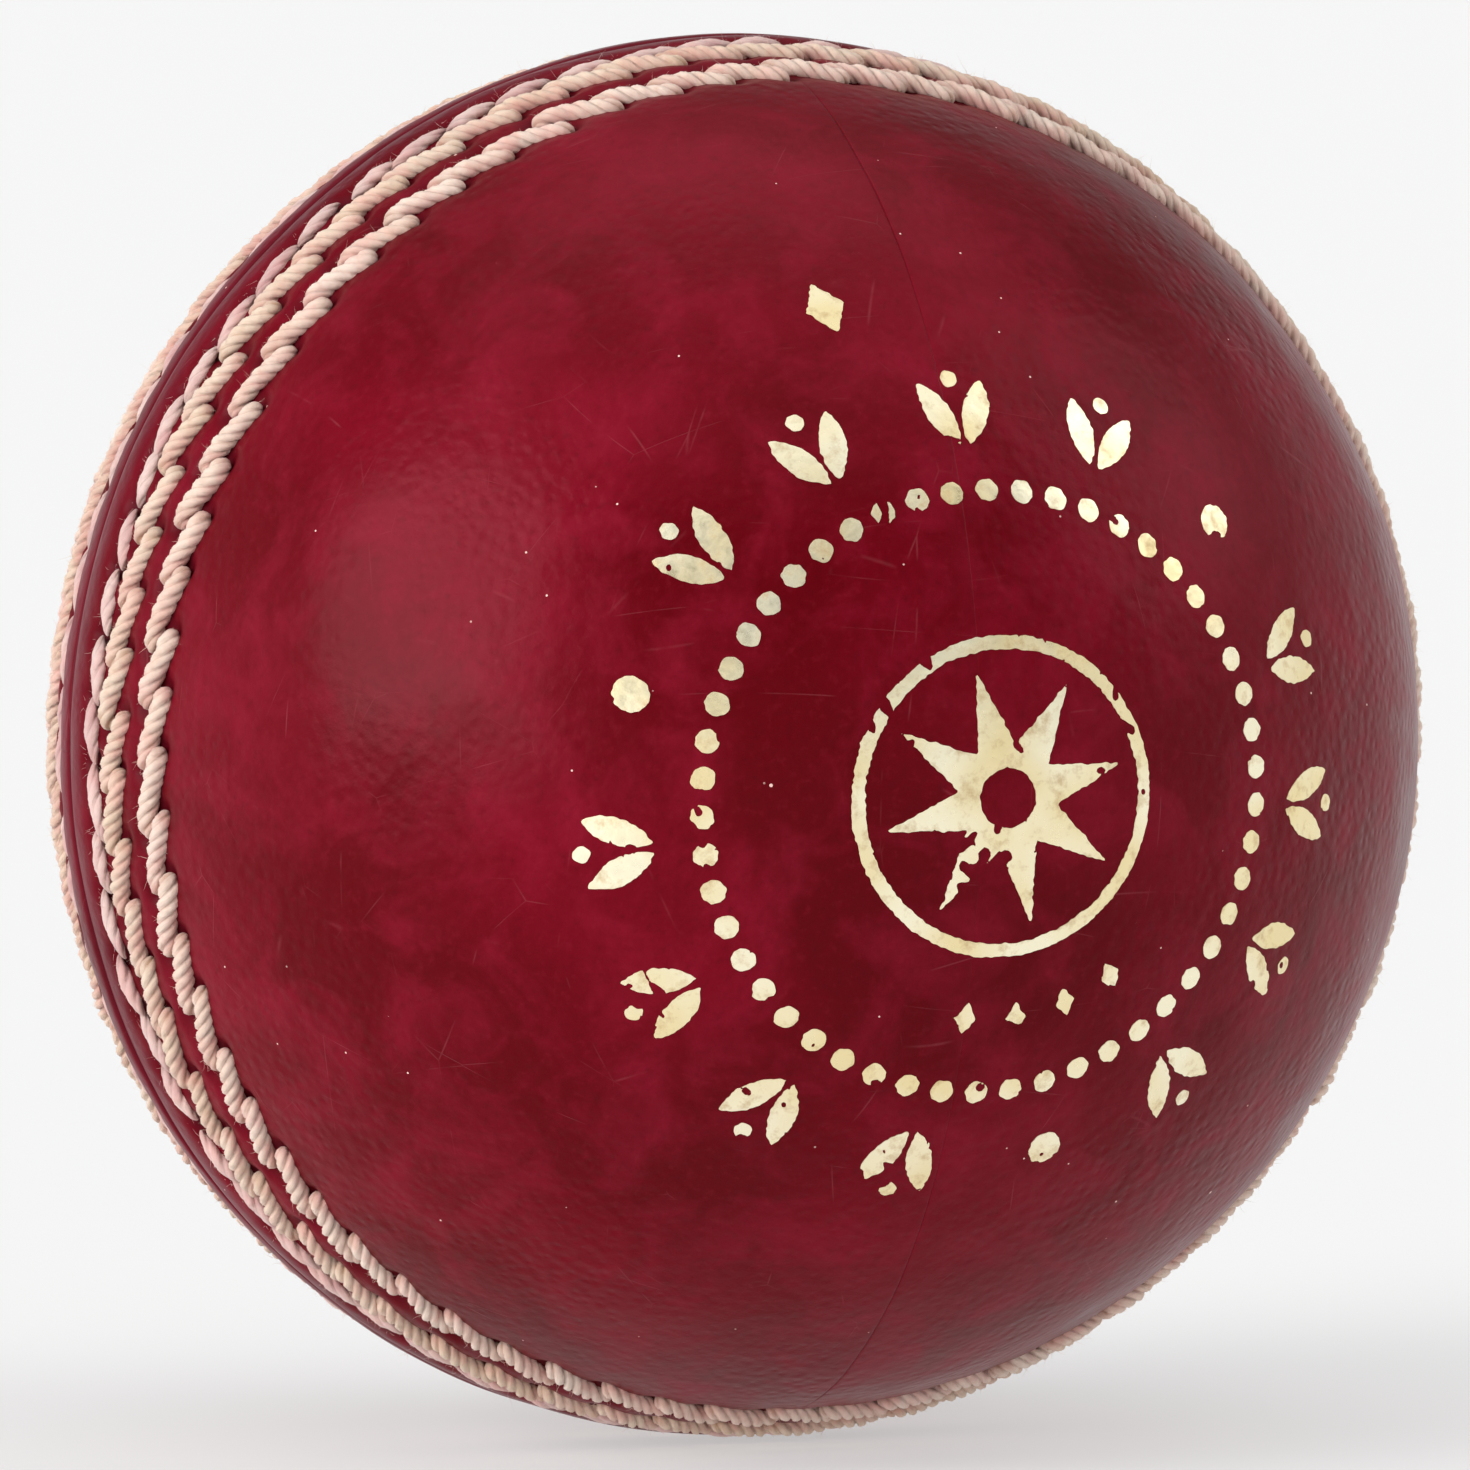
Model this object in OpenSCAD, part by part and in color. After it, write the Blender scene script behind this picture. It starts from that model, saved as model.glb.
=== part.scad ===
// Cricket ball with a four-piece leather cover over a layered cork and wool core.
// The origin is the ball's centre. The seam stands upright in the XZ plane, and the
// stamped face looks along -Y. Every module below is drawn with the ball's polar axis
// on Z, its front pole at +Z, and stand_up() turns that pole to -Y.

/* [Cover] */
// Diameter over the leather, from pole to pole
cover_d = 71.2; // [71:0.1:72]
// Thickness of the leather
cover_t = 3.6; // [3:0.1:4]
// Height of the seam's crest above the cover's sphere
crest_h = 0.7; // [0.5:0.05:0.8]
// Distance over the leather from the joint to the edge of the raised seam
ridge_half_w = 10.6; // [10.2:0.1:12]

/* [Stitching] */
// Number of stitches in each row
stitch_count = 69; // [60:1:70]
// Distance over the leather from the joint to a closing row
closing_row = 2.8; // [2.6:0.1:2.8]
// Distance over the leather from the joint to an inner side row
inner_row = 4.8; // [4.7:0.1:5]
// Distance over the leather from the joint to an outer side row
outer_row = 8.2; // [8:0.1:8.6]
// Thickness of the side rows' thread
side_thread_d = 1.12; // [0.9:0.02:1.14]
// Thickness of the closing rows' thread, which is pressed flatter
closing_thread_d = 0.85; // [0.7:0.05:0.9]
// Length of one side stitch from end to end
side_stitch_l = 4.2; // [3.6:0.1:4.3]
// Length of one closing stitch from point to point
closing_stitch_l = 3.4; // [3:0.1:3.5]
// Slant of the side stitches to the row
side_slant = 23; // [22:1:25]
// Slant of the closing stitches, which lean the other way
closing_slant = -25; // [-28:1:-20]
// Depth of the channel that the side thread pulls into the leather
side_channel = 0.7; // [0.5:0.05:0.8]
// Depth of the channel under a closing row
closing_channel = 0.8; // [0.5:0.05:0.85]

/* [Core] */
// Diameter of the cork ball at the centre
cork_ball_d = 27; // [22:1:29]
// Thickness of a cork slip
slip_t = 1.2; // [0.8:0.1:1.5]
// Side of a cork slip, as a share of the radius that it lies on
slip_share = 1.08; // [0.8:0.02:1.1]

/* [Quarter seams] */
// Width of the lining strip glued over a quarter seam
lining_w = 12; // [9:0.5:14]
// Thickness of the lining strip
lining_t = 0.8; // [0.6:0.1:1]
// Number of hidden stitches along a quarter seam
quarter_stitches = 28; // [20:1:30]
// Thickness of the hidden thread
quarter_thread_d = 0.8; // [0.6:0.05:0.9]

/* [Stamp] */
// Thickness of the gold foil
foil_t = 0.05; // [0.03:0.01:0.1]
// Distance over the leather from the stamp's centre to its ring of dots
dot_ring = 15.7; // [14:0.1:16]
// Number of dots in the ring
dot_count = 50; // [40:1:54]
// Diameter of a dot
dot_d = 1.3; // [1:0.05:1.4]
// Distance over the leather from the stamp's centre to the outer leaves
leaf_ring = 20; // [19.6:0.1:20.4]
// Number of places in the outer ring: leaf sprigs, with a disc in every fifth place
leaf_places = 15; // [10:5:15]
// Turn of the stamp about its own centre
stamp_turn = 14; // [0:1:90]

/* [Hidden] */
$fn = 64;
cover_r = cover_d / 2;
crest_r = cover_r + crest_h;
quilt_r = cover_r - cover_t;
cork_ball_r = cork_ball_d / 2;
layer_count = 5;
layer_t = (quilt_r - cork_ball_r) / layer_count;

// The raised seam is a barrel: an arc about a centre that is off the ball's axis. It
// meets the sphere at the ridge's edge and rises to the crest at the joint.
ridge_lat = lat_of(ridge_half_w);
ridge_edge = [cover_r * cos(ridge_lat), cover_r * sin(ridge_lat)];
barrel_c = (crest_r ^ 2 - ridge_edge.x ^ 2 - ridge_edge.y ^ 2) / (2 * (crest_r - ridge_edge.x));
barrel_r = crest_r - barrel_c;

// How far a side channel and a closing channel reach to each side of their row
channel_play = 0.1;
side_channel_half = (side_stitch_l - side_thread_d) / 2 * sin(side_slant) + side_thread_d / 2 + channel_play;
closing_channel_half = closing_stitch_l / 2 * sin(-closing_slant) + channel_play;
closing_taper = 0.35;

quarter_channel_r = quilt_r + 1.2;
quarter_channel_half = 1.7;
quarter_stitch_l = 2.8;
far = 2 * cover_r;

stamp_offset = [1.4, 2.3, 0];
star_points = 8;
star_r = 6.6;
star_waist_r = 2.7;
star_hole_r = 1.5;
band_in_r = 7.5;
band_out_r = 8.2;
leaf_l = 3.9;
leaf_w = 1.45;
leaf_spread = 24;
sprig_dot_d = 0.9;
lozenge_l = 1.7;
lozenge_w = 1.15;
lozenge_ring = 11.6;
lozenge_step = 14;
crown_ring = 27.4;

// Latitude of a point that lies a distance over the leather from the joint
function lat_of(arc) = arc / cover_r * 180 / PI;

// Radius of the leather's outside at a latitude inside the raised seam
function ridge_r(lat) = barrel_c * cos(lat) + sqrt(barrel_r ^ 2 - (barrel_c * sin(lat)) ^ 2);

function layer_in_r(i) = cork_ball_r + (i - 1) * layer_t;

module stand_up() rotate([90, 0, 0]) children();

module front_half() translate([-far, -far, 0]) cube([2 * far, 2 * far, far]);

module back_half() mirror([0, 0, 1]) front_half();

module shell(r_in, r_out) {
    difference() {
        sphere(r = r_out);
        sphere(r = r_in);
    }
}

// ---- Core ----

module cork_core() color("tan") stand_up() sphere(r = cork_ball_r);

// Three square bars crossing at the centre, cut to the outside of a layer's cork
module slip_block(i) {
    side = slip_share * layer_in_r(i);
    intersection() {
        sphere(r = layer_in_r(i) + slip_t);
        rotate([13 * i, 31 * i, 11 * i]) {
            cube([side, side, far], center = true);
            cube([side, far, side], center = true);
            cube([far, side, side], center = true);
        }
    }
}

// The bars leave six square slips of cork round the ball below. Each layer is turned
// further, so that the gaps between its slips don't line up with the last.
module slip_set(i) {
    difference() {
        slip_block(i);
        sphere(r = layer_in_r(i));
    }
}

module cork_slips(i) color("peru") stand_up() slip_set(i);

// Wool wound over the slips and into the gaps between them
module wool_winding(i) {
    color("wheat") stand_up()
        difference() {
            sphere(r = layer_in_r(i + 1));
            sphere(r = layer_in_r(i));
            slip_block(i);
            if (i == layer_count) lining_gaps();
        }
}

// ---- Quarter seams ----

module turn_quarter() rotate([0, 0, 90]) children();

// The slab of space over the front cup's quarter seam, which is at x = 0
module lining_space() translate([-lining_w / 2, -far, 1]) cube([lining_w, 2 * far, far]);

// What the two lining strips press out of the outermost wool
module lining_gaps() {
    difference() {
        union() {
            lining_space();
            mirror([0, 0, 1]) turn_quarter() lining_space();
        }
        sphere(r = quilt_r - lining_t);
    }
}

// A strip of thin leather inside the front cup
module lining_slab() {
    intersection() {
        shell(quilt_r - lining_t, quilt_r);
        lining_space();
    }
}

module lining_strip_front() color("rosybrown") stand_up() lining_slab();

module lining_strip_back() color("rosybrown") stand_up() mirror([0, 0, 1]) turn_quarter() lining_slab();

// Short stitches across the quarter seam, in a channel inside the leather
module quarter_stitch_row() {
    first = 12;
    step = (180 - 2 * first) / (quarter_stitches - 1);
    r = quilt_r + quarter_thread_d / 2;
    for (i = [0 : quarter_stitches - 1])
        rotate([first + i * step, 0, 0])
            translate([0, r, 0])
                rotate([0, 90 + side_slant, 0]) round_stitch(quarter_stitch_l, quarter_thread_d);
}

module quarter_seam_thread_front() color("beige") stand_up() quarter_stitch_row();

module quarter_seam_thread_back()
    color("beige") stand_up() mirror([0, 0, 1]) turn_quarter() quarter_stitch_row();

module quarter_channel() {
    intersection() {
        sphere(r = quarter_channel_r);
        translate([-quarter_channel_half, -far, 4]) cube([2 * quarter_channel_half, 2 * far, far]);
    }
}

// ---- Cover ----

// A flat-bottomed notch in the cover's section, square to the leather at a row
module channel_section(row, depth, half_w) {
    lat = lat_of(row);
    for (side = [-1, 1])
        rotate(side * lat) translate([ridge_r(lat) - depth, -half_w]) square([3, 2 * half_w]);
}

// The cover's section through the polar axis, which is the section's Y axis
module cover_section() {
    difference() {
        union() {
            intersection() {
                circle(r = cover_r);
                translate([0, -far]) square([far, 2 * far]);
            }
            intersection() {
                translate([barrel_c, 0]) circle(r = barrel_r);
                translate([quilt_r, -ridge_edge.y]) square([far, 2 * ridge_edge.y]);
            }
        }
        circle(r = quilt_r);
        channel_section(closing_row, closing_channel, closing_channel_half);
        channel_section(inner_row, side_channel, side_channel_half);
        channel_section(outer_row, side_channel, side_channel_half);
    }
}

// One quarter of the front cup: half of it, on the +X side of the quarter seam
module cover_quarter() {
    difference() {
        intersection() {
            rotate_extrude() cover_section();
            translate([0, -far, 0]) cube([far, 2 * far, far]);
        }
        quarter_channel();
    }
}

module cover_quarter_front_right() color("firebrick") stand_up() cover_quarter();

module cover_quarter_front_left() color("firebrick") stand_up() rotate([0, 0, 180]) cover_quarter();

module cover_quarter_back_upper()
    color("firebrick") stand_up() mirror([0, 0, 1]) turn_quarter() cover_quarter();

module cover_quarter_back_lower()
    color("firebrick") stand_up() mirror([0, 0, 1]) turn_quarter() rotate([0, 0, 180]) cover_quarter();

// ---- Stitching ----

// A plump stitch: a straight length of thread that is rounded where it dives
module round_stitch(l, d) {
    rotate_extrude()
        intersection() {
            union() {
                translate([0, d / 2 - l / 2]) square([d / 2, l - d]);
                for (end = [-1, 1])
                    translate([0, end * (l - d) / 2]) circle(d = d);
            }
            translate([0, -l]) square([d, 2 * l]);
        }
}

// A stitch drawn out to a point at each end
module pointed_stitch(l, d) {
    full = l * (0.5 - closing_taper);
    rotate_extrude() polygon([[0, -l / 2], [d / 2, -full], [d / 2, full], [0, l / 2]]);
}

// A row round the front side of the seam: its children, which are one stitch along Z,
// laid in the row's channel
module stitch_row(row, d, slant, depth) {
    lat = lat_of(row);
    r = ridge_r(lat) - depth + d / 2;
    for (i = [0 : stitch_count - 1])
        rotate([0, 0, i * 360 / stitch_count])
            rotate([0, -lat, 0])
                translate([r, 0, 0])
                    rotate([90 - slant, 0, 0]) children();
}

// The back rows are the front rows with the ball turned over, so they lean the same way
module turn_over() rotate([180, 0, 0]) children();

module closing_row_set()
    stitch_row(closing_row, closing_thread_d, closing_slant, closing_channel)
        pointed_stitch(closing_stitch_l, closing_thread_d);

module side_row_set(row)
    stitch_row(row, side_thread_d, side_slant, side_channel)
        round_stitch(side_stitch_l, side_thread_d);

module closing_stitches_front() color("pink") stand_up() closing_row_set();

module closing_stitches_back() color("pink") stand_up() turn_over() closing_row_set();

module side_stitches_inner_front() color("bisque") stand_up() side_row_set(inner_row);

module side_stitches_inner_back() color("bisque") stand_up() turn_over() side_row_set(inner_row);

module side_stitches_outer_front() color("bisque") stand_up() side_row_set(outer_row);

module side_stitches_outer_back() color("bisque") stand_up() turn_over() side_row_set(outer_row);

// ---- Stamp ----

// Children drawn flat on the ball, a distance over the leather from the stamp's centre
// and at an angle round it, with their own +Y pointing away from the centre
module on_ball(arc, angle) {
    rotate([0, 0, angle])
        rotate([-lat_of(arc), 0, 0])
            translate([0, 0, cover_r - 2]) linear_extrude(height = 3) children();
}

// A leaf is where two discs cross
module leaf(l, w) {
    arc_r = (l ^ 2 + w ^ 2) / (4 * w);
    intersection() {
        translate([arc_r - w / 2, 0]) circle(r = arc_r);
        translate([w / 2 - arc_r, 0]) circle(r = arc_r);
    }
}

module lozenge(l, w) polygon([[0, -l / 2], [w / 2, 0], [0, l / 2], [-w / 2, 0]]);

module star() {
    difference() {
        polygon([
            for (i = [0 : 2 * star_points - 1])
                let (r = i % 2 == 0 ? star_r : star_waist_r, a = 90 + i * 180 / star_points)
                    [r * cos(a), r * sin(a)]
        ]);
        circle(r = star_hole_r);
    }
}

module ring_band() {
    difference() {
        circle(r = band_out_r);
        circle(r = band_in_r);
    }
}

module sprig() {
    for (side = [-1, 1])
        translate([side * leaf_l * 0.27, 0]) rotate(-side * leaf_spread) leaf(leaf_l, leaf_w);
}

module stamp_marks() {
    on_ball(0, 0) star();
    on_ball(0, 0) ring_band();
    for (i = [0 : dot_count - 1])
        on_ball(dot_ring, i * 360 / dot_count) circle(d = dot_d);
    for (i = [-1.5 : 1.5])
        on_ball(lozenge_ring, 180 + i * lozenge_step) lozenge(lozenge_l, lozenge_w);
    for (i = [0 : leaf_places - 1])
        let (angle = (i + 0.5) * 360 / leaf_places)
            if (i % 5 == 2)
                on_ball(leaf_ring, angle) circle(d = 2 * sprig_dot_d);
            else {
                on_ball(leaf_ring, angle) sprig();
                on_ball(leaf_ring + leaf_l / 2, angle) circle(d = sprig_dot_d);
            }
    on_ball(crown_ring, 0) lozenge(2 * lozenge_l, 2 * lozenge_w);
}

module foil_stamp() {
    color("palegoldenrod") stand_up()
        intersection() {
            shell(cover_r, cover_r + foil_t);
            rotate(stamp_offset) rotate([0, 0, stamp_turn]) stamp_marks();
        }
}

cork_core();
for (i = [1 : layer_count]) {
    cork_slips(i);
    wool_winding(i);
}
lining_strip_front();
lining_strip_back();
quarter_seam_thread_front();
quarter_seam_thread_back();
cover_quarter_front_left();
cover_quarter_front_right();
cover_quarter_back_upper();
cover_quarter_back_lower();
closing_stitches_front();
closing_stitches_back();
side_stitches_inner_front();
side_stitches_inner_back();
side_stitches_outer_front();
side_stitches_outer_back();
foil_stamp();
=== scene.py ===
"""A cricket ball: the look of its leather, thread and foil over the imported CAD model.

All lengths in the code are millimetres on the ball, turned to metres when a mesh is
made. "Arc" is the distance over the leather from the joint towards the pole. The front
half is built directly; the back half is built the same way and turned over about X.
"""

import math

import bpy
import numpy as np
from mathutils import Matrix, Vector


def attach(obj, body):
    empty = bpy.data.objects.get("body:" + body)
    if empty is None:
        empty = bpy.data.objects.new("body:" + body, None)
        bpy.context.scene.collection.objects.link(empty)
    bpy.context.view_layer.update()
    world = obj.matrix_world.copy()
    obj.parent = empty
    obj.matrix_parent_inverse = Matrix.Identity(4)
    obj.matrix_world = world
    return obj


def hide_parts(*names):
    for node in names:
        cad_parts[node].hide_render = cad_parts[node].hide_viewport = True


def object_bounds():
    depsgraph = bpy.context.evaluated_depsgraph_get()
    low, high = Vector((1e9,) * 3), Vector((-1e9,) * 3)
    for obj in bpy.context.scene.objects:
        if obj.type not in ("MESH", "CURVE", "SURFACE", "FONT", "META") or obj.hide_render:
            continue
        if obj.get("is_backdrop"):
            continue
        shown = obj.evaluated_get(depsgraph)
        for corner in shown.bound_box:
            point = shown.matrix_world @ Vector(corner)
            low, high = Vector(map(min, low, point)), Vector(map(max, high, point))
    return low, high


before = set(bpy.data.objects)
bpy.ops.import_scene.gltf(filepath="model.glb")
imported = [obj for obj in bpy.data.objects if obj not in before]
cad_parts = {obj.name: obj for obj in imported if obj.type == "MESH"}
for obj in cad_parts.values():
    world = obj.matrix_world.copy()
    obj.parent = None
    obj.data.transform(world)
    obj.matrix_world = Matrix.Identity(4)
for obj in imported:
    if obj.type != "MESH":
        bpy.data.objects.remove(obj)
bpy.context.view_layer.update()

MM = 0.001
COVER_R = 35.6
CREST_H = 0.85  # how far the raised seam stands off the ball at the joint
RIDGE_W = 10.6  # arc from the joint to where the raised seam has run out
RIDGE_POWER = 1.6
INNER_R = 32.0  # inside of the leather
STITCHES = 69
PITCH = 2 * math.pi / STITCHES
CLOSING_ARC, INNER_ARC, OUTER_ARC = 2.8, 4.8, 8.2
POLE_ARC = COVER_R * math.pi / 2
TURN_OVER = np.array([1.0, -1.0, -1.0])


# ---------------------------------------------------------------- numbers and noise


class Ripple:
    """Smooth noise: plane waves of about one wavelength in random directions."""

    WAVES = 20

    def __init__(self, seed, wavelength):
        rng = np.random.default_rng(seed)
        way = rng.normal(size=(self.WAVES, 3))
        way /= np.linalg.norm(way, axis=1)[:, None]
        self.k = way * (2 * math.pi / (wavelength * rng.uniform(0.7, 1.5, self.WAVES)))[:, None]
        self.phase = rng.uniform(0, 2 * math.pi, self.WAVES)

    def __call__(self, p):
        """The height at points p, with a variance of about 1."""
        return np.sin(p @ self.k.T + self.phase).sum(-1) / math.sqrt(self.WAVES / 2)


def smooth(x, low, high):
    """0 at low and 1 at high, with an even S between them."""
    t = np.clip((x - low) / (high - low), 0, 1)
    return t * t * (3 - 2 * t)


def unit(v):
    return v / np.linalg.norm(v, axis=-1, keepdims=True)


def on_ball(arc, lon, r):
    """Points at an arc from the joint, a longitude round the seam and a radius."""
    arc, lon, r = np.broadcast_arrays(arc, lon, r)
    lat = arc / COVER_R
    x, z = r * np.cos(lat) * np.cos(lon), r * np.cos(lat) * np.sin(lon)
    return np.stack([x, -r * np.sin(lat), z], -1)


def ridge_r(arc):
    """Radius of the cover with its raised seam, before the stitches pull it in."""
    x = np.clip(1 - (arc / RIDGE_W) ** 2, 0, 1)
    return COVER_R + CREST_H * x**RIDGE_POWER


# ---------------------------------------------------------------- mesh making


def make_object(name, points, face_groups, attributes=None, uv=None, smooth_groups=99):
    """A mesh object from points in millimetres and arrays of faces of equal size.

    The first `smooth_groups` arrays are shaded smooth. Flat faces keep the smooth ones'
    normals from turning at the edges that they share.
    """
    mesh = bpy.data.meshes.new(name)
    points = np.asarray(points, float).reshape(-1, 3)
    mesh.vertices.add(len(points))
    mesh.vertices.foreach_set("co", (points * MM).astype(np.float32).ravel())
    corners = np.concatenate([np.asarray(g, np.int32).ravel() for g in face_groups])
    sizes = np.concatenate(
        [np.full(len(g), np.asarray(g).shape[1], np.int32) for g in face_groups]
    )
    starts = np.concatenate([[0], np.cumsum(sizes)[:-1]]).astype(np.int32)
    mesh.loops.add(len(corners))
    mesh.loops.foreach_set("vertex_index", corners)
    mesh.polygons.add(len(sizes))
    mesh.polygons.foreach_set("loop_start", starts)
    mesh.polygons.foreach_set("loop_total", sizes)
    rounded = np.concatenate([np.full(len(g), k < smooth_groups) for k, g in enumerate(face_groups)])
    mesh.polygons.foreach_set("use_smooth", rounded)
    for key, values in (attributes or {}).items():
        layer = mesh.attributes.new(key, "FLOAT", "POINT")
        layer.data.foreach_set("value", np.asarray(values, np.float32).ravel())
    if uv is not None:
        layer = mesh.uv_layers.new(name="UVMap")
        layer.data.foreach_set("uv", np.asarray(uv, np.float32).reshape(-1, 2)[corners].ravel())
    mesh.update(calc_edges=True)
    mesh.validate()
    obj = bpy.data.objects.new(name, mesh)
    bpy.context.scene.collection.objects.link(obj)
    return obj


def settle(obj, material, slot, *nodes):
    """Gives a piece its material and its place among the CAD nodes."""
    obj.data.materials.append(material)
    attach(obj, "root")
    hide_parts(*nodes)


def tube_faces(count, rings, sides):
    """Faces of `count` closed tubes whose points run ring by ring: walls, starts and tips."""
    tube = np.arange(count)[:, None, None] * rings * sides
    ring = np.arange(rings - 1)[None, :, None] * sides
    i = np.arange(sides)[None, None, :]
    j = (i + 1) % sides
    walls = np.stack(
        [tube + ring + i, tube + ring + j, tube + ring + sides + j, tube + ring + sides + i], -1
    ).reshape(-1, 4)
    starts = tube[:, 0] + np.arange(sides)[None, ::-1]
    tips = tube[:, 0] + (rings - 1) * sides + np.arange(sides)[None, :]
    return [walls, starts, tips]


# ---------------------------------------------------------------- shader graphs


class Graph:
    """A node material, with short calls for the nodes used here."""

    def __init__(self, name):
        self.mat = bpy.data.materials.new(name)
        self.mat.use_nodes = True
        self.tree = self.mat.node_tree
        self.tree.nodes.clear()
        self.out = self.tree.nodes.new("ShaderNodeOutputMaterial")
        self.coord = self.tree.nodes.new("ShaderNodeTexCoord").outputs["Object"]

    def node(self, kind, inputs=None, **props):
        n = self.tree.nodes.new("ShaderNode" + kind)
        for key, value in props.items():
            setattr(n, key, value)
        for key, value in (inputs or {}).items():
            if isinstance(value, bpy.types.NodeSocket):
                self.tree.links.new(value, n.inputs[key])
            else:
                n.inputs[key].default_value = value
        return n

    def noise(self, size, detail=3.0, rough=0.5, distortion=0.0, vector=None):
        """Noise with features of about `size` millimetres."""
        n = self.node(
            "TexNoise",
            {
                "Vector": vector or self.coord,
                "Scale": 1000.0 / size,
                "Detail": detail,
                "Roughness": rough,
                "Distortion": distortion,
            },
        )
        return n.outputs["Fac"]

    def cells(self, size, vector=None, feature="F1", output="Distance"):
        """Cells about `size` millimetres across."""
        inputs = {"Vector": vector or self.coord, "Scale": 1000.0 / size}
        return self.node("TexVoronoi", inputs, feature=feature).outputs[output]

    def stretched(self, scale, turn=(0.0, 0.0, 0.0), vector=None):
        inputs = {"Vector": vector or self.coord, "Scale": scale, "Rotation": turn}
        return self.node("Mapping", inputs).outputs[0]

    def span(self, value, a, b, c=0.0, d=1.0):
        """Maps a to c and b to d, held at the ends."""
        n = self.node(
            "MapRange", {"Value": value, "From Min": a, "From Max": b, "To Min": c, "To Max": d}
        )
        return n.outputs[0]

    def math(self, operation, a, b):
        return self.node("Math", {0: a, 1: b}, operation=operation).outputs[0]

    def times(self, a, b):
        return self.math("MULTIPLY", a, b)

    def attribute(self, name):
        return self.node("Attribute", attribute_name=name).outputs["Fac"]

    def mix(self, share, a, b):
        """Colour a turning to colour b as the share goes from 0 to 1."""
        n = self.node("Mix", data_type="RGBA")
        for socket, value in ((n.inputs[0], share), (n.inputs[6], a), (n.inputs[7], b)):
            if isinstance(value, bpy.types.NodeSocket):
                self.tree.links.new(value, socket)
            else:
                socket.default_value = value if isinstance(value, float) else (*value, 1.0)
        return n.outputs[2]

    def bump(self, height, depth, normal=None):
        """Height from 0 to 1 standing for `depth` millimetres."""
        inputs = {"Height": height, "Distance": depth * MM, "Strength": 1.0}
        if normal is not None:
            inputs["Normal"] = normal
        return self.node("Bump", inputs).outputs[0]

    def principled(self, **sockets):
        inputs = {key.replace("_", " "): value for key, value in sockets.items()}
        for key, value in inputs.items():
            if isinstance(value, tuple):
                inputs[key] = (*value, 1.0)
        shader = self.node("BsdfPrincipled", inputs)
        self.tree.links.new(shader.outputs[0], self.out.inputs["Surface"])
        return self.mat


def leather_material():
    g = Graph("cover_leather")
    broad = g.noise(16, 2.0, 0.5)
    patches = g.noise(4.5, 4.0, 0.6, 0.6)
    grain = g.noise(0.5, 3.0, 0.6)
    crevice_shade_and_dye = g.attribute("crevice_shade_and_dye")
    lift = g.attribute("lift")

    deep, mid, bright = (0.106, 0.0004, 0.0034), (0.168, 0.0011, 0.0095), (0.25, 0.006, 0.024)
    colour = g.mix(g.span(broad, 0.38, 0.66), deep, mid)
    colour = g.mix(g.times(g.span(patches, 0.45, 0.75), 0.55), colour, bright)
    colour = g.mix(g.times(g.span(grain, 0.55, 0.75), 0.16), colour, (0.27, 0.014, 0.03))
    colour = g.mix(g.times(g.span(grain, 0.45, 0.25), 0.35), colour, (0.075, 0.001, 0.004))
    colour = g.mix(g.times(lift, 0.5), colour, (0.11, 0.01, 0.02))
    # Painted shade, with some dye, darkens the crevices at the needle holes, under the thread, at
    # the joint and along the quarter seam
    colour = g.mix(crevice_shade_and_dye, colour, (0.075, 0.002, 0.006))

    # Rubbed hairlines, and specks of lint in two sizes
    hair_a = g.cells(7, g.stretched((1.0, 1.0, 0.14), (0.4, 0.2, 0.9)), "DISTANCE_TO_EDGE")
    hair_b = g.cells(5, g.stretched((0.12, 1.0, 1.0), (0.9, 0.5, 0.2)), "DISTANCE_TO_EDGE")
    hairs = g.math("MAXIMUM", g.span(hair_a, 0.006, 0.0), g.span(hair_b, 0.005, 0.0))
    hairs = g.times(hairs, g.span(g.noise(3.2, 2.0), 0.56, 0.7))
    colour = g.mix(g.times(hairs, 0.14), colour, (0.5, 0.14, 0.16))
    speck = g.math("LESS_THAN", g.cells(1.9), 0.03)
    speck = g.times(speck, g.span(g.noise(9, 1.0), 0.44, 0.5))
    speck = g.math("MAXIMUM", speck, g.math("LESS_THAN", g.cells(5.2), 0.017))
    colour = g.mix(g.times(speck, 0.9), colour, (0.95, 0.66, 0.58))

    roughness = g.span(patches, 0.3, 0.75, 0.28, 0.41)
    roughness = g.math("ADD", roughness, g.times(crevice_shade_and_dye, 0.25))
    # Soft undulation, the fine peel of the polish and the grain
    peel = g.cells(0.62, feature="SMOOTH_F1")
    peel = g.times(peel, g.span(g.noise(11, 1.0), 0.42, 0.6, 0.45, 1.0))
    normal = g.bump(g.noise(3.0, 2.0, 0.5), 0.06)
    normal = g.bump(peel, 0.07, normal)
    normal = g.bump(g.noise(0.32, 3.0, 0.65), 0.016, normal)
    normal = g.bump(g.math("SUBTRACT", 1.0, hairs), 0.01, normal)
    return g.principled(
        Base_Color=colour,
        Roughness=roughness,
        Normal=normal,
        Specular_IOR_Level=0.12,
        Specular_Tint=(1.0, 0.36, 0.42),
        Coat_Weight=0.03,
        Coat_Roughness=0.16,
    )


def darker(colour, share):
    return tuple(share * c for c in colour)


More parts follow.
